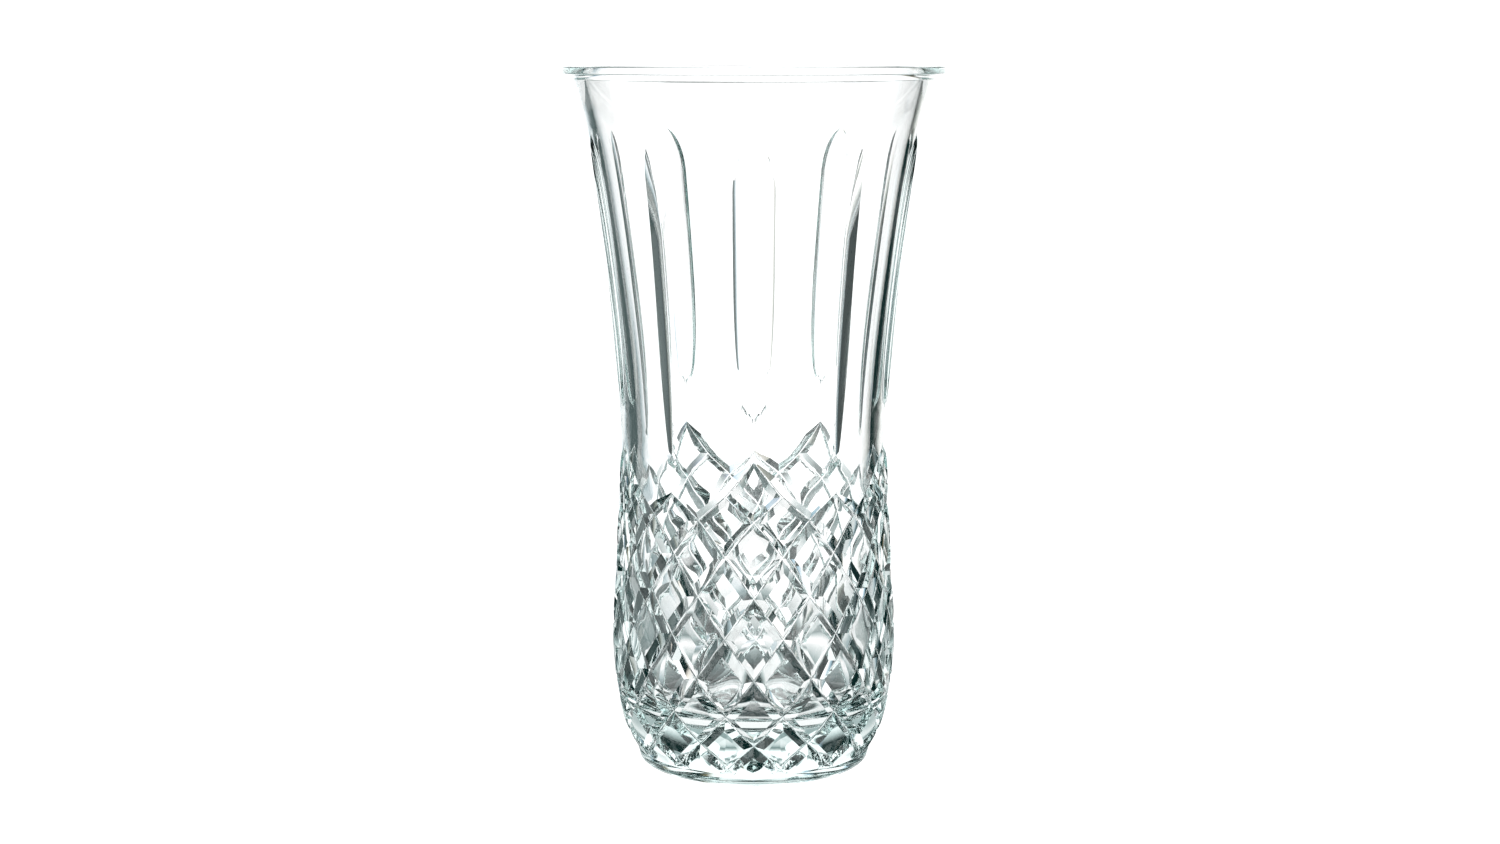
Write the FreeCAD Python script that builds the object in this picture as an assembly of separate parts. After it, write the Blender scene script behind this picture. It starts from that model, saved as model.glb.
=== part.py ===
import FreeCAD, Part
import math
import os

# A cut crystal vase: one piece of clear glass, open at the top.
# Millimetres, +Z up, origin at the centre of the foot's resting plane, -Y is the front.

# --- driving dimensions ------------------------------------------------------------------
HEIGHT = 300.0
FOOT_RADIUS = 50.4
FOOT_EDGE_ROUND = 1.2
FOOT_BAND_HEIGHT = 5.2
FLOOR_HEIGHT = 24.0
FLOOR_ROUND = 16.0
PUNT_RADIUS = 42.0
PUNT_HEIGHT = 2.2
PUNT_MIDDLE_SHARE = (0.55, 0.72)

# The rim is a thin flat-topped ledge that stands out from the flared wall.
RIM_RADIUS = 80.8
RIM_THICKNESS = 3.4
RIM_UNDERSIDE_RISE = 0.2
RIM_EDGE_ROUND = 0.6
RIM_NECK_RADIUS = 76.9
RIM_LIP_RADIUS = 71.9

# Outer wall: (height, radius) from the top of the foot band to the underside of the rim.
OUTER_WALL = [
    (FOOT_BAND_HEIGHT, 51.4),
    (14.0, 56.0),
    (25.0, 58.9),
    (40.0, 61.1),
    (58.0, 61.7),
    (80.0, 60.6),
    (110.0, 59.0),
    (140.0, 57.8),
    (170.0, 59.2),
    (200.0, 61.6),
    (235.0, 65.4),
    (262.0, 69.4),
    (281.0, 72.9),
    (HEIGHT - RIM_THICKNESS, RIM_NECK_RADIUS),
]

# Glass thickness measured level: (height, thickness) along the inside wall.
WALL_THICKNESS = [
    (FLOOR_HEIGHT + FLOOR_ROUND, 8.6),
    (80.0, 8.2),
    (140.0, 7.4),
    (200.0, 6.4),
    (262.0, 5.4),
]

# Diamond cutting: two families of slanting V grooves that cross at the row heights.
# Each pair of neighbouring rows is one step of the lattice up and one step round.
REPEATS = 5
STEP_ANGLE = 12.0
ROW_HEIGHTS = [140.5, 125.6, 115.0, 100.0, 83.3, 66.0, 48.2, 31.9, 18.6, 7.6]
GROOVE_DEPTH_SHARE = 0.164
FACET_ANGLE = 43.0
BOTTOM_RUN_OUT_HEIGHT = 6.4
BOTTOM_DEPTH_SHARE = 0.25

# Groove depth beside its upper end, as (rows below the end, share of full depth).
TALL_PEAK_ENTRY = [(-0.12, 0.12), (0.2, 0.55), (0.55, 1.0)]
SHORT_PEAK_ENTRY = [(-0.12, 0.45), (0.2, 0.95), (0.55, 1.0)]

# Slopes along a groove are taken over these parts of a row.
ROW_MARGIN = 0.1
SHORT_STEP = 0.01
BISECTION_STEPS = 60

# How far the cutters stand proud of the wall, and how they leave it at a flute's two ends.
CUTTER_LIFT = 2.0
RUN_OUT_LENGTH = 1.0
RUN_OUT_RISE = 0.15

# Flutes on the flared wall, by turns high and low. The high ones are broad hollows with a round
# section, as deep in proportion where they narrow as where they are wide. The low ones are narrow
# V blades that flatten out towards their tops, so their facet angle is a table of (height, angle).
# Foot and head lengths are where the width draws in at each end.
HIGH_FLUTE = {
    "low": 158.5, "high": 271.0, "half_width": 8.6, "hollow": 1.9,
    "foot_length": 50.0, "foot_power": 0.25, "head_length": 20.0, "head_power": 0.5,
}
LOW_FLUTE = {
    "low": 139.5, "high": 271.0, "half_width": 4.4,
    "facet_angles": [(139.5, 27.0), (232.0, 27.0), (256.0, 12.0), (271.0, 8.0)],
    "foot_length": 62.0, "foot_power": 0.45, "head_length": 16.0, "head_power": 0.5,
}
FLUTE_SECTIONS = [0.004, 0.03, 0.1, 0.2, 0.4, 0.6, 0.75, 0.86, 0.93, 0.97, 0.996]


def spline_curve(points):
    """A smooth curve through (height, radius) points, in the XZ plane."""
    curve = Part.BSplineCurve()
    curve.interpolate([FreeCAD.Vector(radius, 0, height) for height, radius in points])
    return curve


def parameter_at(curve, reading, target):
    """The curve parameter where a reading that rises along the curve reaches a target."""
    low, high = curve.FirstParameter, curve.LastParameter
    for _ in range(BISECTION_STEPS):
        middle = (low + high) / 2.0
        if reading(curve.value(middle)) < target:
            low = middle
        else:
            high = middle
    return (low + high) / 2.0


OUTER_CURVE = spline_curve(OUTER_WALL)


def outer_wall(height):
    """Radius and outward slope (dr/dz) of the outer wall at a height."""
    clamped = min(max(height, OUTER_WALL[0][0]), OUTER_WALL[-1][0])
    parameter = parameter_at(OUTER_CURVE, lambda point: point.z, clamped)
    tangent = OUTER_CURVE.tangent(parameter)[0]
    return OUTER_CURVE.value(parameter).x, tangent.x / tangent.z


def interpolate(table, value):
    """Straight-line lookup in a table of (value, result) pairs."""
    if value <= table[0][0]:
        return table[0][1]
    for (x0, y0), (x1, y1) in zip(table, table[1:]):
        if value <= x1:
            return y0 + (y1 - y0) * (value - x0) / (x1 - x0)
    return table[-1][1]


# --- the uncut vase -----------------------------------------------------------------------

def at(radius, height):
    return FreeCAD.Vector(radius, 0, height)


def corner_arc(centre, size, start_angle, end_angle):
    """A round corner about a centre, between two angles in degrees."""
    points = []
    for angle in (start_angle, (start_angle + end_angle) / 2.0, end_angle):
        turn = math.radians(angle)
        points.append(centre + FreeCAD.Vector(size * math.cos(turn), 0, size * math.sin(turn)))
    return Part.Arc(*points)


def vase_blank():
    """The uncut vase: foot, wall, ledge rim, hollow with a rounded floor, and punt."""
    inner_points = [(h, outer_wall(h)[0] - thickness) for h, thickness in WALL_THICKNESS]
    inner_points.append((HEIGHT - RIM_EDGE_ROUND, RIM_LIP_RADIUS))
    inner_curve = spline_curve(inner_points)

    underside = HEIGHT - RIM_THICKNESS + RIM_UNDERSIDE_RISE
    rim_edge = RIM_RADIUS - RIM_EDGE_ROUND
    rim_low = corner_arc(at(rim_edge, underside + RIM_EDGE_ROUND), RIM_EDGE_ROUND, -90, 0)
    rim_high = corner_arc(at(rim_edge, HEIGHT - RIM_EDGE_ROUND), RIM_EDGE_ROUND, 0, 90)
    lip_centre = at(RIM_LIP_RADIUS + RIM_EDGE_ROUND, HEIGHT - RIM_EDGE_ROUND)
    lip = corner_arc(lip_centre, RIM_EDGE_ROUND, 90, 180)
    floor_centre = at(inner_points[0][1] - FLOOR_ROUND, FLOOR_HEIGHT + FLOOR_ROUND)
    floor_round = corner_arc(floor_centre, FLOOR_ROUND, 0, -90)
    foot_centre = at(FOOT_RADIUS - FOOT_EDGE_ROUND, FOOT_EDGE_ROUND)
    foot_round = corner_arc(foot_centre, FOOT_EDGE_ROUND, -90, 0)
    punt_middle = at(PUNT_RADIUS * PUNT_MIDDLE_SHARE[0], PUNT_HEIGHT * PUNT_MIDDLE_SHARE[1])

    edges = [
        Part.makeLine(at(PUNT_RADIUS, 0), foot_round.StartPoint),
        foot_round.toShape(),
        Part.makeLine(foot_round.EndPoint, at(OUTER_WALL[0][1], FOOT_BAND_HEIGHT)),
        OUTER_CURVE.toShape(),
        Part.makeLine(at(RIM_NECK_RADIUS, HEIGHT - RIM_THICKNESS), rim_low.StartPoint),
        rim_low.toShape(),
        Part.makeLine(rim_low.EndPoint, rim_high.StartPoint),
        rim_high.toShape(),
        Part.makeLine(rim_high.EndPoint, lip.StartPoint),
        lip.toShape(),
        inner_curve.toShape(),
        floor_round.toShape(),
        Part.makeLine(floor_round.EndPoint, at(0, FLOOR_HEIGHT)),
        Part.makeLine(at(0, FLOOR_HEIGHT), at(0, PUNT_HEIGHT)),
        Part.Arc(at(0, PUNT_HEIGHT), punt_middle, at(PUNT_RADIUS, 0)).toShape(),
    ]
    outline = Part.Wire(Part.sortEdges(edges)[0])
    return Part.Face(outline).revolve(FreeCAD.Vector(0, 0, 0), FreeCAD.Vector(0, 0, 1), 360)


# --- cutters ------------------------------------------------------------------------------

def surface_frame(angle, height):
    """A point on the outer wall, with its outward normal and its level sideways direction."""
    radius, slope = outer_wall(height)
    turn = math.radians(angle)
    outward = FreeCAD.Vector(math.sin(turn), -math.cos(turn), 0)
    side = FreeCAD.Vector(math.cos(turn), math.sin(turn), 0)
    normal = (outward - FreeCAD.Vector(0, 0, slope)).normalize()
    return outward * radius + FreeCAD.Vector(0, 0, height), normal, side


def v_section(point, normal, across, facet_angle, depth):
    """A triangle with its apex under the surface and its open side above it."""
    reach = (depth + CUTTER_LIFT) / math.tan(math.radians(facet_angle))
    left = point + normal * CUTTER_LIFT - across * reach
    right = point + normal * CUTTER_LIFT + across * reach
    apex = point - normal * depth
    return Part.makePolygon([left, apex, right, left])


def round_section(point, normal, across, section_radius, depth):
    """A circular segment with its lowest point under the surface and its chord above it."""
    rise = depth + CUTTER_LIFT
    reach = math.sqrt(2.0 * section_radius * rise - rise**2)
    left = point + normal * CUTTER_LIFT - across * reach
    right = point + normal * CUTTER_LIFT + across * reach
    apex = point - normal * depth
    return Part.Wire([Part.Arc(left, apex, right).toShape(), Part.makeLine(right, left)])


ROW_CURVE = Part.BSplineCurve()
ROW_CURVE.interpolate([
    FreeCAD.Vector(row, height, 0)
    for row, height in enumerate(ROW_HEIGHTS + [2.0 * ROW_HEIGHTS[-1] - ROW_HEIGHTS[-2]])
])


def row_height(row):
    """Height of the lattice at a row number, whole or not."""
    return ROW_CURVE.value(parameter_at(ROW_CURVE, lambda point: point.x, row)).y


def bottom_row():
    """The row number at which the grooves run out, just above the foot band."""
    parameter = parameter_at(ROW_CURVE, lambda point: -point.y, -BOTTOM_RUN_OUT_HEIGHT)
    return ROW_CURVE.value(parameter).x


def full_depth(row):
    """Depth of a groove away from its ends: a share of the spacing between parallel grooves."""
    middle = max(row, ROW_MARGIN)
    radius, _ = outer_wall(row_height(middle))
    rise = row_height(middle - ROW_MARGIN) - row_height(middle + ROW_MARGIN)
    rise /= 2.0 * ROW_MARGIN
    run = radius * math.radians(STEP_ANGLE)
    spacing = 2.0 * run * rise / math.hypot(run, rise)
    return GROOVE_DEPTH_SHARE * spacing


def groove_cutter(start_angle, start_row, direction):
    """One slanting V cutter, from its pointed upper end down to the foot band."""
    entry = TALL_PEAK_ENTRY if start_row == 0 else SHORT_PEAK_ENTRY
    last_full_row = len(ROW_HEIGHTS) - 1.0
    last_row = bottom_row()
    top_rise = ROW_HEIGHTS[0] - ROW_HEIGHTS[1]
    rows = [start_row + below for below, _ in entry]
    rows += [half_rows / 2.0 for half_rows in range(2 * start_row + 2, 2 * len(ROW_HEIGHTS) - 1)]
    rows += [last_row]
    sections = []
    for row in rows:
        inside_row = max(row, 0.0)
        height = row_height(inside_row) + (inside_row - row) * top_rise
        angle = start_angle + direction * STEP_ANGLE * row
        point, normal, side = surface_frame(angle, height)
        slope_row = max(row, ROW_MARGIN)
        ahead_angle = angle + direction * STEP_ANGLE * SHORT_STEP
        here, _, _ = surface_frame(angle, row_height(slope_row))
        ahead, _, _ = surface_frame(ahead_angle, row_height(slope_row + SHORT_STEP))
        across = (ahead - here).normalize().cross(normal).normalize()
        depth = full_depth(row) * interpolate(entry, row - start_row)
        depth *= interpolate([(last_full_row, 1.0), (last_row, BOTTOM_DEPTH_SHARE)], row)
        sections.append(v_section(point, normal, across, FACET_ANGLE, depth))
    return Part.makeLoft(sections, True, False)


def groove_cutters(direction):
    """All grooves that slant one way. Three start from each repeat, two steps apart."""
    cutters = []
    for repeat in range(REPEATS):
        base = repeat * 360.0 / REPEATS
        cutters.append(groove_cutter(base, 0, direction))
        cutters.append(groove_cutter(base + 2 * STEP_ANGLE, 1, direction))
        cutters.append(groove_cutter(base + 4 * STEP_ANGLE, 1, direction))
    return cutters


def flute_half_width(height, flute):
    """Half width of a flute, drawn in at its foot and at its head."""
    from_foot = min((height - flute["low"]) / flute["foot_length"], 1.0)
    from_head = min((flute["high"] - height) / flute["head_length"], 1.0)
    foot_share = math.sin(from_foot * math.pi / 2.0) ** flute["foot_power"]
    head_share = math.sin(from_head * math.pi / 2.0) ** flute["head_power"]
    return flute["half_width"] * foot_share * head_share


def flute_section(angle, height, flute, half_width, depth):
    """One cross-section of a flute cutter with its lowest point at a depth."""
    point, normal, side = surface_frame(angle, height)
    if "hollow" in flute:
        section_radius = half_width * flute["half_width"] / (2.0 * flute["hollow"])
        return round_section(point, normal, side, section_radius, depth)
    return v_section(point, normal, side, interpolate(flute["facet_angles"], height), depth)


def flute_depth(height, flute, half_width):
    """Depth of a flute below the round wall: its own hollow and the bulge of the wall across it."""
    radius, _ = outer_wall(height)
    bulge = radius * (1.0 - math.cos(half_width / radius))
    if "hollow" in flute:
        return flute["hollow"] * half_width / flute["half_width"] + bulge
    facet_angle = interpolate(flute["facet_angles"], height)
    return half_width * math.tan(math.radians(facet_angle)) + bulge


def flute_cutter(angle, flute):
    """One upright cutter that follows the flare of the wall and rises out of it at both ends."""
    length = flute["high"] - flute["low"]
    heights = [flute["low"] + share * length for share in FLUTE_SECTIONS]
    widths = [flute_half_width(height, flute) for height in heights]
    sections = [
        flute_section(angle, height, flute, half_width, flute_depth(height, flute, half_width))
        for height, half_width in zip(heights, widths)
    ]
    below = flute["low"] - RUN_OUT_LENGTH
    above = flute["high"] + RUN_OUT_LENGTH
    sections.insert(0, flute_section(angle, below, flute, widths[0], -RUN_OUT_RISE))
    sections.append(flute_section(angle, above, flute, widths[-1], -RUN_OUT_RISE))
    return Part.makeLoft(sections, True, False)


def flute_cutters():
    """High flutes over the tall peaks, low flutes half way between them."""
    cutters = []
    for repeat in range(REPEATS):
        angle = repeat * 360.0 / REPEATS
        cutters.append(flute_cutter(angle, HIGH_FLUTE))
        cutters.append(flute_cutter(angle + 180.0 / REPEATS, LOW_FLUTE))
    return cutters


def vase():
    """The whole vase, cut in three passes: flutes, then each slant of the diamond grooves."""
    solid = vase_blank()
    for cutters in (flute_cutters(), groove_cutters(1), groove_cutters(-1)):
        solid = solid.cut(cutters)
    return solid.Solids[0] if len(solid.Solids) == 1 else solid


os.makedirs("parts", exist_ok=True)
shape = vase()
print("valid", shape.isValid(), "solids", len(shape.Solids), "faces", len(shape.Faces))
print("volume cm3", round(shape.Volume / 1000.0, 1))
shape.exportStep("parts/vase.step")
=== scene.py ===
import math

import bmesh
import bpy
import numpy as np
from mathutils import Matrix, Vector
from mathutils.geometry import delaunay_2d_cdt


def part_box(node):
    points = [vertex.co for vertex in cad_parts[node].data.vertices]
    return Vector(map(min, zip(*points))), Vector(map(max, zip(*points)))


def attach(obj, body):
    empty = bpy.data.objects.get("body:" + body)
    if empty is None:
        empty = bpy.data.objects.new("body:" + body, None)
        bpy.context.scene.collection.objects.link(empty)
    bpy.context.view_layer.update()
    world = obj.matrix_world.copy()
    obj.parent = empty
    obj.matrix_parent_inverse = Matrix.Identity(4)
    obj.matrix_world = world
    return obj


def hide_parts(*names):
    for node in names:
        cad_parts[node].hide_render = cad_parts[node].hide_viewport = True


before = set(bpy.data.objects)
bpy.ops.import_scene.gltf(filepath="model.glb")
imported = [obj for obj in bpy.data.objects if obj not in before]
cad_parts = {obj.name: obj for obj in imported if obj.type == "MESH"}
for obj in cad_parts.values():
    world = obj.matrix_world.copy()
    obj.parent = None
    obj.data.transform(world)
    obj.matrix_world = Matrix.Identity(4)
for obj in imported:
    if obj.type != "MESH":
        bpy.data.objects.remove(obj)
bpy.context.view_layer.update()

# --- the vase's own sizes, in millimetres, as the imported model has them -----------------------
MM = 0.001
vase_low, vase_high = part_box("vase")
HEIGHT = (vase_high[2] - vase_low[2]) / MM
RIM_RADIUS = (vase_high[0] - vase_low[0]) / 2.0 / MM
RIM_THICKNESS = 3.4
RIM_EDGE_ROUND = 0.6
RIM_NECK_RADIUS = 76.9
RIM_LIP_RADIUS = 71.9
# Under the rim, in shares of the edge's rounding: points (out, up) from the neck, then the ledge.
RIM_COVE = [(0.35, 0.15), (1.0, 0.25)]
RIM_UNDERSIDE_RISE = 0.35
FOOT_RADIUS = 50.4
FOOT_EDGE_ROUND = 1.2
FOOT_BAND_HEIGHT = 5.2
FLOOR_HEIGHT = 24.0
FLOOR_ROUND = 16.0
PUNT_RADIUS = 42.0
PUNT_HEIGHT = 2.2
PUNT_POWER = 2.2

OUTER_WALL = [
    (FOOT_BAND_HEIGHT, 51.4),
    (14.0, 56.0),
    (25.0, 58.9),
    (40.0, 61.1),
    (58.0, 61.7),
    (80.0, 60.6),
    (110.0, 59.0),
    (140.0, 57.8),
    (170.0, 59.2),
    (200.0, 61.6),
    (235.0, 65.4),
    (262.0, 69.4),
    (281.0, 72.9),
    (HEIGHT - RIM_THICKNESS, RIM_NECK_RADIUS),
]
WALL_THICKNESS = [
    (FLOOR_HEIGHT + FLOOR_ROUND, 8.6),
    (80.0, 8.2),
    (140.0, 7.4),
    (200.0, 6.4),
    (262.0, 5.4),
    (HEIGHT - RIM_THICKNESS, RIM_NECK_RADIUS - RIM_LIP_RADIUS),
]

REPEATS = 5
ROW_HEIGHTS = [140.5, 125.6, 115.0, 100.0, 83.3, 66.0, 48.2, 31.9, 18.6, 7.6]
STEP_ANGLE = 12.0
LINES_PER_REPEAT = 6
JUNCTION_LINE = {1: 4, -1: 2}
GROOVE_DEPTH_SHARE = 0.164
FACET_ANGLE = 43.0
GROOVE_HALF = 2.0 * GROOVE_DEPTH_SHARE / math.tan(math.radians(FACET_ANGLE))
PEAK_TIP_SHARE = 0.12
PEAK_RUN_OUT_ROWS = 0.55
FOOT_FADE = [(5.6, 0.0), (7.6, 0.35), (12.5, 1.0)]

# The wall of the hollow is slightly wavy where the diamonds are: (turns round the vase, radians per
# millimetre of height, phase) of each wave, and (height, share of the full waviness).
WAVES = [(9, 0.21, 0.4), (-13, 0.17, 2.1), (17, -0.24, 4.0), (-6, 0.13, 1.3), (21, 0.11, 5.2)]
WAVE_HEIGHT = 0.05
WAVE_FADE = [(26.0, 0.0), (40.0, 1.0), (118.0, 1.0), (150.0, 0.0)]
WAVE_MARGIN = 0.1

HIGH_FLUTE = {
    "low": 158.5, "high": 271.0, "half_width": 8.6, "hollow": 1.9,
    "foot_length": 50.0, "foot_power": 0.25, "head_length": 20.0, "head_power": 0.5,
}
LOW_FLUTE = {
    "low": 139.5, "high": 271.0, "half_width": 4.4,
    "facet_angles": [(139.5, 27.0), (232.0, 27.0), (256.0, 12.0), (271.0, 8.0)],
    "foot_length": 62.0, "foot_power": 0.45, "head_length": 16.0, "head_power": 0.5,
}
FLUTE_BOTTOM_SHARE = 0.2

# --- how finely the mesh is divided ---------------------------------------------------------
# Grooves and diamonds. P_LINES and Q_LINES are the lattice lines meshed, PATTERN_ROWS the rows.
FACET_SHARES = (0.0, 0.07, 0.14, 0.55)
GROOVE_BOTTOM_SHARE = 0.14
NARROWEST_GROOVE = 0.04
PANEL_CUTS = 7
P_LINES = (-14, 8)
Q_LINES = (-4, 18)
PATTERN_ROWS = (-0.8, 9.6)
# The edge between the diamonds and the flutes swings up and down round this height.
PATTERN_TOP_HEIGHT = 141.5
PATTERN_TOP_SWING = 6.5
PATTERN_BOTTOM = FOOT_FADE[0][0]
PATTERN_MARGIN = 0.9
SIDE_MARGIN_ANGLE = 0.05
MESH_TOLERANCE = 1e-5
TINY = 1e-6

# Flutes.
FLUTE_COLUMNS = 6
PLAIN_COLUMNS = 6
FLUTE_ROWS = 72
HALF_REPEAT = 180.0 / REPEATS
HALF_COLUMNS = 2 * (FLUTE_COLUMNS + PLAIN_COLUMNS)
AROUND = 2 * REPEATS * HALF_COLUMNS
FLUTE_EASE = 10.0
NARROWEST_FLUTE_ANGLE = 0.35
EVEN_ROWS = 3.0
UPPER_EDGE = 283.0

# Rim, hollow and foot.
NECK_ROWS = 6
RIM_CORNER_STEPS = 5
LIP_POINTS = 6
HOLLOW_ROWS = 96
FLOOR_CORNER_STEPS = 14
FLOOR_RINGS = 8
FOOT_CORNER_STEPS = 6
PUNT_RINGS = 12
NEAR_THIRD = 0.33
FAR_THIRD = 0.66

# Edges of the cutting sharper than the crease angle stay sharp; the cutting is nowhere deeper than
# the limit. Distances in millimetres.
CREASE_ANGLE = 6.0
CUTTING_LIMIT = 4.5
MERGE_DISTANCE = 0.02
SLIVER_LENGTH = 0.01

SLOPE_NUDGE = 0.05


def make_spline(points):
    """A natural cubic spline through (x, y) points, as a function of arrays of x."""
    x = np.array([p[0] for p in points], float)
    y = np.array([p[1] for p in points], float)
    step = np.diff(x)
    count = len(x)
    matrix = np.eye(count)
    right = np.zeros(count)
    for i in range(1, count - 1):
        matrix[i, i - 1] = step[i - 1]
        matrix[i, i] = 2.0 * (step[i - 1] + step[i])
        matrix[i, i + 1] = step[i]
        right[i] = 6.0 * ((y[i + 1] - y[i]) / step[i] - (y[i] - y[i - 1]) / step[i - 1])
    bend = np.linalg.solve(matrix, right)

    def value(at):
        at = np.asarray(at, float)
        i = np.clip(np.searchsorted(x, at) - 1, 0, count - 2)
        h = step[i]
        a = (x[i + 1] - at) / h
        b = (at - x[i]) / h
        cubic = ((a**3 - a) * bend[i] + (b**3 - b) * bend[i + 1]) * h**2 / 6.0
        inside = (at >= x[0]) & (at <= x[-1])
        return a * y[i] + b * y[i + 1] + np.where(inside, cubic, 0.0)

    return value


outer_radius = make_spline(OUTER_WALL)
row_height = make_spline(list(enumerate(ROW_HEIGHTS)))


def lookup(table, at):
    """Straight-line lookup in a table of (value, result) pairs."""
    return np.interp(at, [p[0] for p in table], [p[1] for p in table])


def smooth_step(value):
    """Eases from 0 to 1 as a value goes from 0 to 1."""
    value = min(max(value, 0.0), 1.0)
    return value * value * (3.0 - 2.0 * value)


def outer_points(angle, height, depth):
    """Points on the outer wall, sunk by a depth along the wall's normal. Angles in degrees."""
    angle, height, depth = (np.asarray(v, float) for v in (angle, height, depth))
    rise = outer_radius(height + SLOPE_NUDGE) - outer_radius(height - SLOPE_NUDGE)
    slope = rise / (2.0 * SLOPE_NUDGE)
    lean = np.sqrt(1.0 + slope**2)
    radius = outer_radius(height) - depth / lean
    z = height + depth * slope / lean
    turn = np.radians(angle)
    return np.stack([radius * np.sin(turn), -radius * np.cos(turn), z], axis=-1)


# --- the diamond cutting --------------------------------------------------------------------
# Lattice coordinates: p = angle / 12 - row and q = angle / 12 + row. Every groove of one slant
# keeps p at an even number, every groove of the other slant keeps q at an even number.

def groove_spacing(row):
    """Distance in millimetres between parallel grooves at a row."""
    rise = np.abs(row_height(row + SLOPE_NUDGE) - row_height(row - SLOPE_NUDGE))
    rise = rise / (2.0 * SLOPE_NUDGE)
    radius = outer_radius(np.clip(row_height(row), FOOT_BAND_HEIGHT, HEIGHT))
    run = radius * math.radians(STEP_ANGLE)
    return 2.0 * run * rise / np.hypot(run, rise)


def start_row(line):
    """The row at which a groove begins: the tall peaks, the small peaks or a T junction."""
    return 0.0 if line % LINES_PER_REPEAT == 0 else 1.0


def is_junction(line, slant):
    """True for a groove that begins square against one of the other slant."""
    return line % LINES_PER_REPEAT == JUNCTION_LINE[slant]


def run_out(line, slant, row):
    """Share of full depth along a groove: pointed at a peak, square at a T junction."""
    since = row - start_row(line)
    if since < -TINY:
        return 0.0
    if is_junction(line, slant):
        return 1.0
    share = PEAK_TIP_SHARE + (1.0 - PEAK_TIP_SHARE) * min(since / PEAK_RUN_OUT_ROWS, 1.0)
    return min(share, 1.0)


def lattice_breaks(low, high):
    """Grid values from low to high, both even: facet strips beside each groove, then the panel."""
    values = []
    for start in range(low, high, 2):
        facet = GROOVE_HALF * np.array(FACET_SHARES)
        panel = GROOVE_HALF + (2.0 - 2.0 * GROOVE_HALF) * np.arange(PANEL_CUTS) / PANEL_CUTS
        far = 2.0 - GROOVE_HALF * np.array((1.0,) + FACET_SHARES[:0:-1])
        values.extend(start + v for v in (*facet, *panel, *far))
    values.append(float(high))
    return values


def squeeze(offset, share):
    """Moves a grid line beside a groove in or out so that the groove narrows with its depth."""
    share = max(share, NARROWEST_GROOVE)
    size = abs(offset)
    if size <= GROOVE_HALF:
        return offset * share
    edge = GROOVE_HALF * share
    moved = edge + (1.0 - edge) * (size - GROOVE_HALF) / (1.0 - GROOVE_HALF)
    return math.copysign(moved, offset)


def groove_section(offset):
    """Share of full depth across a groove: straight facets and a narrow rounded bottom."""
    share = abs(offset) / GROOVE_HALF
    if share >= GROOVE_BOTTOM_SHARE:
        return max(0.0, 1.0 - share)
    return 1.0 - GROOVE_BOTTOM_SHARE / 2.0 * (1.0 + (share / GROOVE_BOTTOM_SHARE) ** 2)


def lattice_point(p, q):
    """Angle, height and depth of one lattice grid point."""
    row = (q - p) / 2.0
    line_p = 2 * round(p / 2.0)
    line_q = 2 * round(q / 2.0)
    off_p = p - line_p
    off_q = q - line_q
    share_p = run_out(line_p, 1, (q - line_p) / 2.0)
    share_q = run_out(line_q, -1, (line_q - p) / 2.0)
    near_foot = float(lookup(FOOT_FADE, float(row_height(row))))
    p_moved = line_p + (squeeze(off_p, share_p) if share_p > 0.0 else off_p)
    q_moved = line_q + (squeeze(off_q, share_q) if share_q > 0.0 else off_q)
    height = float(row_height((q_moved - p_moved) / 2.0))
    full = GROOVE_DEPTH_SHARE * float(groove_spacing(max(row, 0.0))) * near_foot
    depth_p = share_p * groove_section(off_p)
    depth_q = share_q * groove_section(off_q)
    return (p_moved + q_moved) * STEP_ANGLE / 2.0, height, full * max(depth_p, depth_q)


def pattern_top(angle):
    """The height at which the lattice mesh hands over to the flute mesh."""
    swing = np.cos(np.radians(np.asarray(angle, float) * REPEATS))
    return PATTERN_TOP_HEIGHT + PATTERN_TOP_SWING * swing


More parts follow.
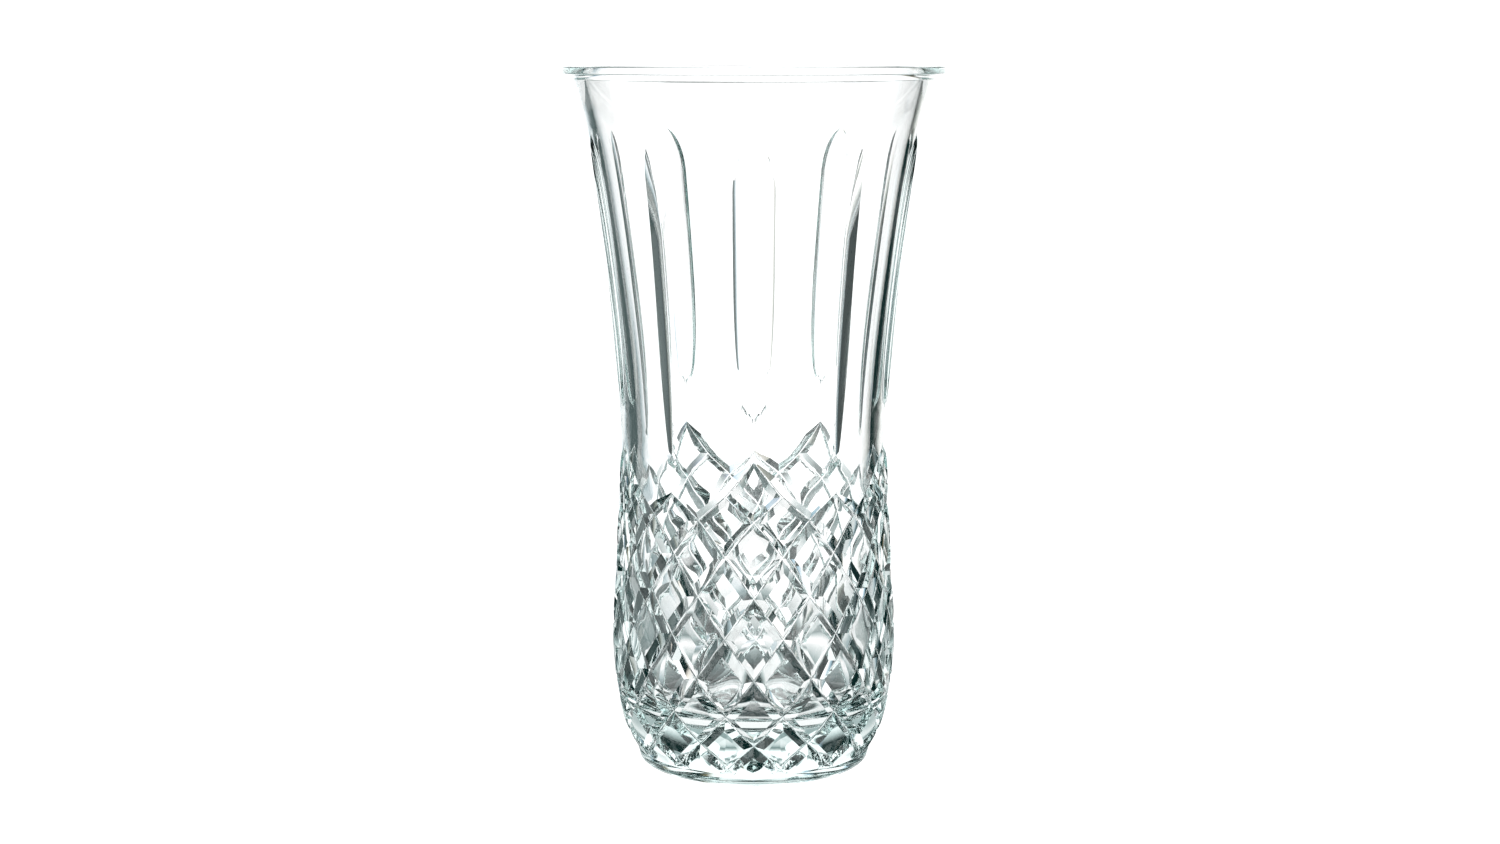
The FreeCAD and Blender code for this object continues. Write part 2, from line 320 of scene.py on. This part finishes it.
def pattern_half():
    """One mirror half of one repeat of the cut zone, as flat (angle, height, depth) and faces."""
    p_values = lattice_breaks(*P_LINES)
    q_values = lattice_breaks(*Q_LINES)
    far_side = 2.0 * HALF_REPEAT / STEP_ANGLE
    index = {}
    points = []
    for i, p in enumerate(p_values):
        for j, q in enumerate(q_values):
            steps_round = p + q
            row = (q - p) / 2.0
            if steps_round < -TINY or steps_round > far_side + TINY:
                continue
            if row < PATTERN_ROWS[0] or row > PATTERN_ROWS[1]:
                continue
            angle, height, depth = lattice_point(p, q)
            if height > pattern_top(angle) - PATTERN_MARGIN:
                continue
            if height < PATTERN_BOTTOM + PATTERN_MARGIN:
                continue
            if abs(steps_round) < TINY:
                angle = 0.0
            elif abs(steps_round - far_side) < TINY:
                angle = HALF_REPEAT
            elif angle < SIDE_MARGIN_ANGLE or angle > HALF_REPEAT - SIDE_MARGIN_ANGLE:
                continue
            index[i, j] = len(points)
            points.append((angle, height, depth))
    edges = []
    for (i, j), at in index.items():
        for neighbour in ((i + 1, j), (i, j + 1)):
            if neighbour in index:
                edges.append((at, index[neighbour]))
        for corner in ((i + 1, j + 1), (i + 1, j - 1)):
            if corner in index and is_mitre(p_values, q_values, i, j, corner):
                edges.append((at, index[corner]))
    bottom = []
    top = []
    for column in range(HALF_COLUMNS + 1):
        angle = HALF_REPEAT * column / HALF_COLUMNS
        bottom.append(len(points))
        points.append((angle, PATTERN_BOTTOM, 0.0))
        top.append(len(points))
        points.append((angle, float(pattern_top(angle)), 0.0))
    for side in (0.0, HALF_REPEAT):
        chain = [k for k, point in enumerate(points) if point[0] == side]
        chain.sort(key=lambda k: points[k][1])
        edges.extend(zip(chain, chain[1:]))
    for chain in (bottom, top):
        edges.extend(zip(chain, chain[1:]))
    flat = [Vector((a, z)) for a, z, _ in points]
    verts, _, faces, source, _, _ = delaunay_2d_cdt(flat, edges, [], 1, MESH_TOLERANCE)
    depths = np.array([points[s[0]][2] if s else 0.0 for s in source])
    plane = np.array([(v.x, v.y) for v in verts])
    return plane, depths, [tuple(f) for f in faces]


def is_mitre(p_values, q_values, i, j, corner):
    """True if a diagonal lies on the line where two crossing grooves meet."""
    for x, y in ((p_values[i], q_values[j]), (p_values[corner[0]], q_values[corner[1]])):
        off_p = x - 2 * round(x / 2.0)
        off_q = y - 2 * round(y / 2.0)
        if abs(off_p) > GROOVE_HALF + TINY or abs(abs(off_p) - abs(off_q)) > TINY:
            return False
    return True


# --- the flutes -----------------------------------------------------------------------------

def flute_half_width(height, flute):
    """Half width in millimetres, drawn in at the foot and at the head."""
    foot = np.clip((height - flute["low"]) / flute["foot_length"], 0.0, 1.0)
    head = np.clip((flute["high"] - height) / flute["head_length"], 0.0, 1.0)
    foot_share = np.sin(foot * math.pi / 2.0) ** flute["foot_power"]
    head_share = np.sin(head * math.pi / 2.0) ** flute["head_power"]
    return flute["half_width"] * foot_share * head_share


def flute_depth(share, height, half_width, bulge, flute):
    """Depth below the round wall at a share of the half width: a round hollow or a V blade."""
    arch = 1.0 - share**2
    if "hollow" in flute:
        return (flute["hollow"] * half_width / flute["half_width"] + bulge) * arch
    section = 1.0 - share
    if share < FLUTE_BOTTOM_SHARE:
        section = 1.0 - FLUTE_BOTTOM_SHARE / 2.0 * (1.0 + (share / FLUTE_BOTTOM_SHARE) ** 2)
    facet_angle = math.radians(float(lookup(flute["facet_angles"], height)))
    return half_width * math.tan(facet_angle) * section + bulge * arch


def flute_columns(height, flute, radius, evenness):
    """Angles from a flute's middle to the middle of the plain wall, and the cut's depths there."""
    quarter = HALF_REPEAT / 2.0
    half_width = float(flute_half_width(height, flute))
    cut_angle = math.degrees(half_width / radius)
    even_angle = quarter * FLUTE_COLUMNS / (FLUTE_COLUMNS + PLAIN_COLUMNS)
    outside = max(flute["low"] - height, height - flute["high"], 0.0)
    relax = smooth_step(max(min(outside / FLUTE_EASE, 1.0), evenness))
    edge_angle = max(cut_angle, NARROWEST_FLUTE_ANGLE) * (1.0 - relax) + even_angle * relax
    shares = [0.0, FLUTE_BOTTOM_SHARE / 2.0, FLUTE_BOTTOM_SHARE]
    for k in range(1, FLUTE_COLUMNS - 2):
        side_share = (1.0 - FLUTE_BOTTOM_SHARE) * k / (FLUTE_COLUMNS - 2.0)
        shares.append(FLUTE_BOTTOM_SHARE + side_share)
    shares = [s * (1.0 - relax) + k / FLUTE_COLUMNS * relax for k, s in enumerate(shares)]
    angles = [edge_angle * s for s in shares]
    for k in range(PLAIN_COLUMNS + 1):
        angles.append(edge_angle + (quarter - edge_angle) * k / PLAIN_COLUMNS)
    bulge = radius * (1.0 - math.cos(math.radians(cut_angle)))
    depths = []
    for k in range(FLUTE_COLUMNS + PLAIN_COLUMNS + 1):
        inside = k < FLUTE_COLUMNS and half_width > 0.0
        depths.append(flute_depth(shares[k], height, half_width, bulge, flute) if inside else 0.0)
    return angles, depths


def flute_half():
    """One mirror half of one repeat of the fluted wall: rows of (angle, height, depth)."""
    columns = FLUTE_COLUMNS + PLAIN_COLUMNS
    rows = []
    for row in range(FLUTE_ROWS + 1):
        share = row / FLUTE_ROWS
        evenness = max(0.0, 1.0 - row / EVEN_ROWS)
        halves = []
        for side, flute in ((0, HIGH_FLUTE), (1, LOW_FLUTE)):
            line = []
            for k in range(columns + 1):
                even = HALF_REPEAT / 2.0 * k / columns
                even = even if side == 0 else HALF_REPEAT - even
                start = float(pattern_top(even))
                height = start + (UPPER_EDGE - start) * share
                radius = float(outer_radius(height))
                angles, depths = flute_columns(height, flute, radius, evenness)
                angle = angles[k] if side == 0 else HALF_REPEAT - angles[k]
                line.append((angle, height, depths[k]))
            halves.append(line)
        rows.append(halves[0] + halves[1][-2::-1])
    return rows


# --- putting the whole wall together --------------------------------------------------------

def add_grid(verts, faces, grid, wrap):
    """Adds a grid of 3-D points as quads. Row by row, closing on itself if wrap."""
    rows, columns = grid.shape[:2]
    start = len(verts)
    verts.extend(map(tuple, grid.reshape(-1, 3)))
    last = columns if wrap else columns - 1
    for r in range(rows - 1):
        for c in range(last):
            a = start + r * columns + c
            b = start + r * columns + (c + 1) % columns
            faces.append((a, b, b + columns, a + columns))
    return start


def arc_points(centre, start, end, steps):
    """Points on a circular arc in the (radius, height) plane, ends included."""
    out = []
    a0 = math.atan2(start[1] - centre[1], start[0] - centre[0])
    a1 = math.atan2(end[1] - centre[1], end[0] - centre[0])
    size = math.hypot(start[0] - centre[0], start[1] - centre[1])
    for k in range(steps + 1):
        a = a0 + (a1 - a0) * k / steps
        out.append((centre[0] + size * math.cos(a), centre[1] + size * math.sin(a)))
    return out


def inner_outline():
    """The rest of the outline: over the rim, down the hollow and across its floor to the axis."""
    heights = [h for h, _ in WALL_THICKNESS[:-1]]
    inner = [(h, float(outer_radius(h)) - float(lookup(WALL_THICKNESS, h))) for h in heights]
    inner.append((HEIGHT - RIM_EDGE_ROUND, RIM_LIP_RADIUS))
    inner_radius = make_spline(inner)
    outline = []
    neck_height = HEIGHT - RIM_THICKNESS
    for k in range(1, NECK_ROWS + 1):
        height = UPPER_EDGE + (neck_height - UPPER_EDGE) * k / NECK_ROWS
        outline.append((float(outer_radius(height)), height))
    edge = RIM_EDGE_ROUND
    outline += [(RIM_NECK_RADIUS + out * edge, neck_height + up * edge) for out, up in RIM_COVE]
    low = (RIM_RADIUS - edge, neck_height + RIM_UNDERSIDE_RISE * edge + edge)
    outline += arc_points(low, (low[0], low[1] - edge), (RIM_RADIUS, low[1]), RIM_CORNER_STEPS)
    high = (RIM_RADIUS - edge, HEIGHT - edge)
    outline += arc_points(high, (RIM_RADIUS, high[1]), (high[0], HEIGHT), RIM_CORNER_STEPS)
    flat_in = RIM_LIP_RADIUS + edge
    outline += [(high[0] + (flat_in - high[0]) * s, HEIGHT) for s in (NEAR_THIRD, FAR_THIRD)]
    for turn in np.linspace(math.pi / 2.0, math.pi, LIP_POINTS):
        outline.append((flat_in + edge * math.cos(turn), HEIGHT - edge + edge * math.sin(turn)))
    top, bottom = HEIGHT - edge, heights[0]
    for k in range(1, HOLLOW_ROWS + 1):
        height = top + (bottom - top) * k / HOLLOW_ROWS
        outline.append((float(inner_radius(height)), height))
    centre = (outline[-1][0] - FLOOR_ROUND, FLOOR_HEIGHT + FLOOR_ROUND)
    outline += arc_points(centre, outline[-1], (centre[0], FLOOR_HEIGHT), FLOOR_CORNER_STEPS)[1:]
    outline += [(centre[0] * (1.0 - k / FLOOR_RINGS), FLOOR_HEIGHT) for k in range(1, FLOOR_RINGS)]
    return outline


def foot_outline():
    """From the top of the foot band down, over the resting ring and in across the punt."""
    band_top = float(outer_radius(FOOT_BAND_HEIGHT))
    outline = [(band_top, FOOT_BAND_HEIGHT)]
    for share in (FAR_THIRD, NEAR_THIRD):
        radius = FOOT_RADIUS + (band_top - FOOT_RADIUS) * share
        height = FOOT_EDGE_ROUND + (FOOT_BAND_HEIGHT - FOOT_EDGE_ROUND) * share
        outline.append((radius, height))
    centre = (FOOT_RADIUS - FOOT_EDGE_ROUND, FOOT_EDGE_ROUND)
    edge_start = (FOOT_RADIUS, FOOT_EDGE_ROUND)
    outline += arc_points(centre, edge_start, (centre[0], 0.0), FOOT_CORNER_STEPS)
    for share in (FAR_THIRD, NEAR_THIRD, 0.0):
        outline.append((PUNT_RADIUS + (centre[0] - PUNT_RADIUS) * share, 0.0))
    for k in range(1, PUNT_RINGS):
        share = 1.0 - k / PUNT_RINGS
        outline.append((PUNT_RADIUS * share, PUNT_HEIGHT * (1.0 - share**PUNT_POWER)))
    return outline


def waviness(angles, heights):
    """How far the wall of the hollow stands out from a true round, in millimetres."""
    wave = 0.0
    for around, along, phase in WAVES:
        wave = wave + np.sin(around * angles + heights * along + phase)
    return WAVE_HEIGHT * wave * lookup(WAVE_FADE, heights)


def lathe(outline, wavy=False):
    """Turns (radius, height) points into rings of AROUND points."""
    angles = np.radians(np.arange(AROUND) * 360.0 / AROUND)
    radius = np.array([p[0] for p in outline])[:, None]
    height = np.array([p[1] for p in outline])[:, None]
    if wavy:
        hollow = radius < RIM_LIP_RADIUS - WAVE_MARGIN
        radius = radius + np.where(hollow, waviness(angles[None, :], height), 0.0)
    rings = (radius * np.sin(angles), -radius * np.cos(angles), height + 0.0 * angles)
    return np.stack(rings, axis=-1)


def add_fan(verts, faces, ring_start, centre, flip):
    """Closes a ring of AROUND points with triangles to a centre point."""
    middle = len(verts)
    verts.append(centre)
    for c in range(AROUND):
        a, b = ring_start + c, ring_start + (c + 1) % AROUND
        faces.append((b, a, middle) if flip else (a, b, middle))


def vase_mesh():
    """The closed wall of the vase in metres, as patches that meet edge to edge."""
    verts = []
    faces = []
    plane, depths, pattern_faces = pattern_half()
    flute_rows = np.array(flute_half())
    for repeat in range(REPEATS):
        for mirror in (1.0, -1.0):
            turn = repeat * 360.0 / REPEATS
            start = len(verts)
            cut = outer_points(turn + mirror * plane[:, 0], plane[:, 1], depths)
            verts.extend(map(tuple, cut))
            for face in pattern_faces:
                face = face if mirror > 0 else face[::-1]
                faces.append(tuple(start + k for k in face))
            flute_angles = turn + mirror * flute_rows[..., 0]
            grid = outer_points(flute_angles, flute_rows[..., 1], flute_rows[..., 2])
            first_face = len(faces)
            add_grid(verts, faces, grid, False)
            if mirror < 0:
                faces[first_face:] = [f[::-1] for f in faces[first_face:]]
    upper_ring = [(float(outer_radius(UPPER_EDGE)), UPPER_EDGE)]
    inner = lathe(upper_ring + inner_outline(), wavy=True)
    last_ring = add_grid(verts, faces, inner, True) + (inner.shape[0] - 1) * AROUND
    add_fan(verts, faces, last_ring, (0.0, 0.0, FLOOR_HEIGHT), False)
    pattern_ring = [(float(outer_radius(PATTERN_BOTTOM)), PATTERN_BOTTOM)]
    first_face = len(faces)
    foot = lathe(pattern_ring + foot_outline())
    last_ring = add_grid(verts, faces, foot, True) + (foot.shape[0] - 1) * AROUND
    faces[first_face:] = [f[::-1] for f in faces[first_face:]]
    add_fan(verts, faces, last_ring, (0.0, 0.0, PUNT_HEIGHT), True)

    mesh = bpy.data.meshes.new("vase_glass")
    mesh.from_pydata([tuple(c * MM for c in v) for v in verts], [], faces)
    return mesh


def build_vase():
    """Joins the patches of the wall and marks the cut edges sharp."""
    mesh = vase_mesh()
    work = bmesh.new()
    work.from_mesh(mesh)
    bmesh.ops.remove_doubles(work, verts=work.verts, dist=MERGE_DISTANCE * MM)
    bmesh.ops.dissolve_degenerate(work, edges=work.edges, dist=SLIVER_LENGTH * MM)
    bmesh.ops.recalc_face_normals(work, faces=work.faces)
    sharp_limit = math.radians(CREASE_ANGLE)
    for face in work.faces:
        face.smooth = True
    for edge in work.edges:
        if len(edge.link_faces) != 2:
            continue
        middle = (edge.verts[0].co + edge.verts[1].co) / 2.0
        radius = math.hypot(middle.x, middle.y)
        wall_radius = float(outer_radius(min(middle.z / MM, UPPER_EDGE)))
        outside = radius > (wall_radius - CUTTING_LIMIT) * MM
        if outside and middle.z < UPPER_EDGE * MM and edge.calc_face_angle(0.0) > sharp_limit:
            edge.smooth = False
    work.to_mesh(mesh)
    work.free()
    mesh.update()
    vase = bpy.data.objects.new("vase_crystal", mesh)
    bpy.context.scene.collection.objects.link(vase)
    return vase


# --- materials ------------------------------------------------------------------------------
GLASS_IOR = 1.545
BODY_COLOUR = (0.50, 0.82, 0.79, 1.0)
BODY_DENSITY = 3.4


def crystal_material():
    """Clear lead crystal: plain refraction and a faint grey-green body colour."""
    material = bpy.data.materials.new("crystal")
    material.use_nodes = True
    nodes = material.node_tree.nodes
    shader = nodes["Principled BSDF"]
    shader.inputs["Base Color"].default_value = (1.0, 1.0, 1.0, 1.0)
    shader.inputs["Roughness"].default_value = 0.0
    shader.inputs["IOR"].default_value = GLASS_IOR
    shader.inputs["Transmission Weight"].default_value = 1.0
    absorb = nodes.new("ShaderNodeVolumeAbsorption")
    absorb.inputs["Color"].default_value = BODY_COLOUR
    absorb.inputs["Density"].default_value = BODY_DENSITY
    links = material.node_tree.links
    links.new(absorb.outputs["Volume"], nodes["Material Output"].inputs["Volume"])
    return material


def emission_material(name, colour, strength):
    """A surface that only gives off light."""
    material = bpy.data.materials.new(name)
    material.use_nodes = True
    nodes = material.node_tree.nodes
    nodes.remove(nodes["Principled BSDF"])
    glow = nodes.new("ShaderNodeEmission")
    glow.inputs["Color"].default_value = (*colour, 1.0)
    glow.inputs["Strength"].default_value = strength
    material.node_tree.links.new(glow.outputs[0], nodes["Material Output"].inputs["Surface"])
    return material


# --- studio ---------------------------------------------------------------------------------
# The camera's values are a least-squares fit to the outline and rim as read from the photo.
CAMERA_SIDE = -0.0016
CAMERA_DISTANCE = 0.9414
CAMERA_HEIGHT = 0.304
CAMERA_PITCH = 9.4235
FOCAL_PIXELS = 2202.2
PICTURE_WIDTH = 1500.0
SENSOR_WIDTH = 36.0


def build_camera():
    """The camera in front of the vase, level with its rim and looking a little down."""
    data = bpy.data.cameras.new("camera")
    camera = bpy.data.objects.new("camera", data)
    bpy.context.scene.collection.objects.link(camera)
    data.sensor_width = SENSOR_WIDTH
    data.lens = SENSOR_WIDTH * FOCAL_PIXELS / PICTURE_WIDTH
    camera.location = (CAMERA_SIDE, -CAMERA_DISTANCE, CAMERA_HEIGHT)
    camera.rotation_euler = (math.radians(90.0 - CAMERA_PITCH), 0.0, 0.0)
    bpy.context.scene.camera = camera


# Light tent: soft panels of light, placed by azimuth and elevation in degrees. Azimuth 180 is
# behind the vase. Azimuths are (middle, half width, softness), elevations are (low, high).
# The first five panels here and the first six pools below are rounded values from a search
# that matched them to the photo. One pool's strength was then changed, and the last two
# panels and pools were set one by one.
PANELS = [
    {"azimuth": (180.0, 57.0, 4.0), "elevation": (2.2, 6.0), "strength": 1.40},
    {"azimuth": (193.0, 55.0, 18.0), "elevation": (-14.5, 8.3), "strength": 0.13},
    {"azimuth": (182.0, 17.0, 4.0), "elevation": (-17.5, 31.0), "strength": 1.40},
    {"azimuth": (-30.0, 35.0, 4.0), "elevation": (-12.0, 62.0), "strength": 1.40},
    {"azimuth": (97.0, 27.0, 4.0), "elevation": (16.0, 30.0), "strength": 1.40},
    {"azimuth": (278.0, 18.0, 8.0), "elevation": (-12.0, 10.0), "strength": 0.80},
    {"azimuth": (82.0, 18.0, 8.0), "elevation": (-12.0, 10.0), "strength": 0.80},
]
# Pools of light on the table top: azimuths as above, radii are (inner, outer, softness) in metres.
POOLS = [
    {"azimuth": (0.0, 180.0, 10.0), "radii": (0.032, 0.050, 0.004), "strength": 1.11},
    {"azimuth": (170.0, 51.0, 11.0), "radii": (0.150, 0.14, 0.09), "strength": 1.15},
    {"azimuth": (176.0, 23.0, 13.0), "radii": (0.254, 5.0, 0.004), "strength": 1.40},
    {"azimuth": (207.0, 40.0, 6.0), "radii": (0.120, 5.0, 0.03), "strength": 0.11},
    {"azimuth": (21.0, 45.0, 5.0), "radii": (0.133, 5.0, 0.006), "strength": 1.40},
    {"azimuth": (-39.0, 32.0, 4.0), "radii": (0.125, 0.5, 0.015), "strength": 1.40},
    {"azimuth": (278.0, 18.0, 8.0), "radii": (0.6, 5.0, 0.4), "strength": 0.80},
    {"azimuth": (82.0, 18.0, 8.0), "radii": (0.6, 5.0, 0.4), "strength": 0.80},
]
# Dim light is a little green-blue, and so is what the unlit parts of the room give back.
DIM_TINT = (0.70, 1.05, 1.04)
DARK_GLOW = (0.004, 0.020, 0.019)
FRINGE_ANGLE = 0.25
PANEL_LEVEL_SOFTNESS = 6.0

# The tent and the table top are grids, in metres and degrees. The table top lies just under the
# vase and the tent stands round it.
TENT_RADIUS = 5.0
TENT_LEVELS = [-12.0 + 3.0 * k for k in range(35)]
TABLE_RADII = [0.0, 0.028, 0.030, 0.032, 0.050, 0.052, 0.054, 0.058, 0.063, 0.068, 0.08, 0.1]
TABLE_RADII += [0.12, 0.13, 0.14, 0.15, 0.16, 0.18, 0.2, 0.3, 0.6, 2.0, 4.9]
TABLE_DROP = 0.0005
LIGHT_COLUMNS = 120

# The white floor and backdrop, which only the camera sees. The glass sees the tent and the lit
# table top instead.
BACKDROP_REACH = 14.0
BACKDROP_DROP = 0.002
BACKDROP_STRENGTH = 1.25
ROOM_COLOUR = (0.055, 0.075, 0.075, 1.0)


def across(azimuth, middle, half, softness):
    """Share of a panel's light that is left at an azimuth."""
    away = abs((azimuth - middle + 180.0) % 360.0 - 180.0)
    return smooth_step((half + softness - away) / softness)


def tent_light(azimuth, elevation):
    """Brightness of the light tent in one direction, in degrees."""
    light = 0.0
    for panel in PANELS:
        low, high = panel["elevation"]
        rise = smooth_step((elevation - low + PANEL_LEVEL_SOFTNESS) / PANEL_LEVEL_SOFTNESS)
        fall = smooth_step((high + PANEL_LEVEL_SOFTNESS - elevation) / PANEL_LEVEL_SOFTNESS)
        light = max(light, panel["strength"] * across(azimuth, *panel["azimuth"]) * rise * fall)
    return light


def table_light(azimuth, radius):
    """Brightness of the table top at one place, azimuth in degrees and radius in metres."""
    light = 0.0
    for pool in POOLS:
        inner, outer, softness = pool["radii"]
        rise = smooth_step((radius - inner + softness) / softness)
        fall = smooth_step((outer + softness - radius) / softness)
        light = max(light, pool["strength"] * across(azimuth, *pool["azimuth"]) * rise * fall)
    return light


def studio_object(name, verts, faces, material):
    """A mesh that belongs to the studio and not to the vase."""
    mesh = bpy.data.meshes.new(name)
    mesh.from_pydata(verts, [], faces)
    made = bpy.data.objects.new(name, mesh)
    bpy.context.scene.collection.objects.link(made)
    mesh.materials.append(material)
    return made


def lit_grid(name, rows, columns, place, light, material):
    """A grid that is closed round the azimuth and carries its own brightness at every vertex."""
    fringes = (FRINGE_ANGLE, 0.0, -FRINGE_ANGLE)
    verts = []
    tones = []
    faces = []
    for r in rows:
        for c in range(columns):
            azimuth = 360.0 * c / columns
            verts.append(place(azimuth, r))
            colour = []
            for shift, tint, glow in zip(fringes, DIM_TINT, DARK_GLOW):
                tone = light(azimuth + shift, r)
                tone *= 1.0 + (tint - 1.0) * max(0.0, 1.0 - tone)
                colour.append(max(tone, glow))
            tones.append(colour)
    for r in range(len(rows) - 1):
        for c in range(columns):
            a, b = r * columns + c, r * columns + (c + 1) % columns
            faces.append((a, b, b + columns, a + columns))
    made = studio_object(name, verts, faces, material)
    layer = made.data.attributes.new("tone", "FLOAT_COLOR", "POINT")
    for item, tone in zip(layer.data, tones):
        item.color = (*tone, 1.0)
    made.visible_camera = False
    return made


def tone_material():
    """Light as bright as the tone stored at each vertex."""
    material = emission_material("tent_light", (1.0, 1.0, 1.0), 1.0)
    nodes = material.node_tree.nodes
    tone = nodes.new("ShaderNodeAttribute")
    tone.attribute_name = "tone"
    material.node_tree.links.new(tone.outputs["Color"], nodes["Emission"].inputs["Color"])
    material.cycles.emission_sampling = "NONE"
    return material


def table_place(azimuth, radius):
    """The place on the table top at an azimuth and a radius."""
    turn = math.radians(azimuth)
    return (radius * math.sin(turn), -radius * math.cos(turn), -TABLE_DROP)


def tent_place(azimuth, elevation):
    """The place on the tent at an azimuth and an elevation."""
    turn, rise = math.radians(azimuth), math.radians(elevation)
    level = TENT_RADIUS * math.cos(rise)
    return (level * math.sin(turn), -level * math.cos(turn), TENT_RADIUS * math.sin(rise))


def build_studio():
    """White floor and backdrop for the camera, lit table top and tent for the glass."""
    world = bpy.data.worlds.new("studio")
    bpy.context.scene.world = world
    world.use_nodes = True
    background = world.node_tree.nodes["Background"]
    background.inputs["Color"].default_value = ROOM_COLOUR
    background.inputs["Strength"].default_value = 1.0
    white = emission_material("floor_white", (1.0, 1.0, 1.0), BACKDROP_STRENGTH)
    corners = [(-BACKDROP_REACH, -BACKDROP_REACH), (BACKDROP_REACH, -BACKDROP_REACH)]
    corners += [(BACKDROP_REACH, BACKDROP_REACH), (-BACKDROP_REACH, BACKDROP_REACH)]
    verts = [(x, y, z) for z in (-BACKDROP_DROP, BACKDROP_REACH) for x, y in corners]
    sides = [(k, (k + 1) % 4, (k + 1) % 4 + 4, k + 4) for k in range(4)]
    floor = studio_object("floor", verts, [(0, 1, 2, 3)] + sides, white)
    floor.visible_transmission = False
    floor.visible_glossy = False
    tones = tone_material()
    lit_grid("table_light", TABLE_RADII, LIGHT_COLUMNS, table_place, table_light, tones)
    lit_grid("tent_light", TENT_LEVELS, LIGHT_COLUMNS, tent_place, tent_light, tones)


build_camera()
build_studio()
vase = build_vase()
vase.data.materials.append(crystal_material())
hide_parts("vase")
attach(vase, "root")

scene = bpy.context.scene
scene.view_settings.view_transform = "Standard"
scene.cycles.max_bounces = 40
scene.cycles.transmission_bounces = 36
scene.cycles.glossy_bounces = 24
scene.cycles.diffuse_bounces = 2
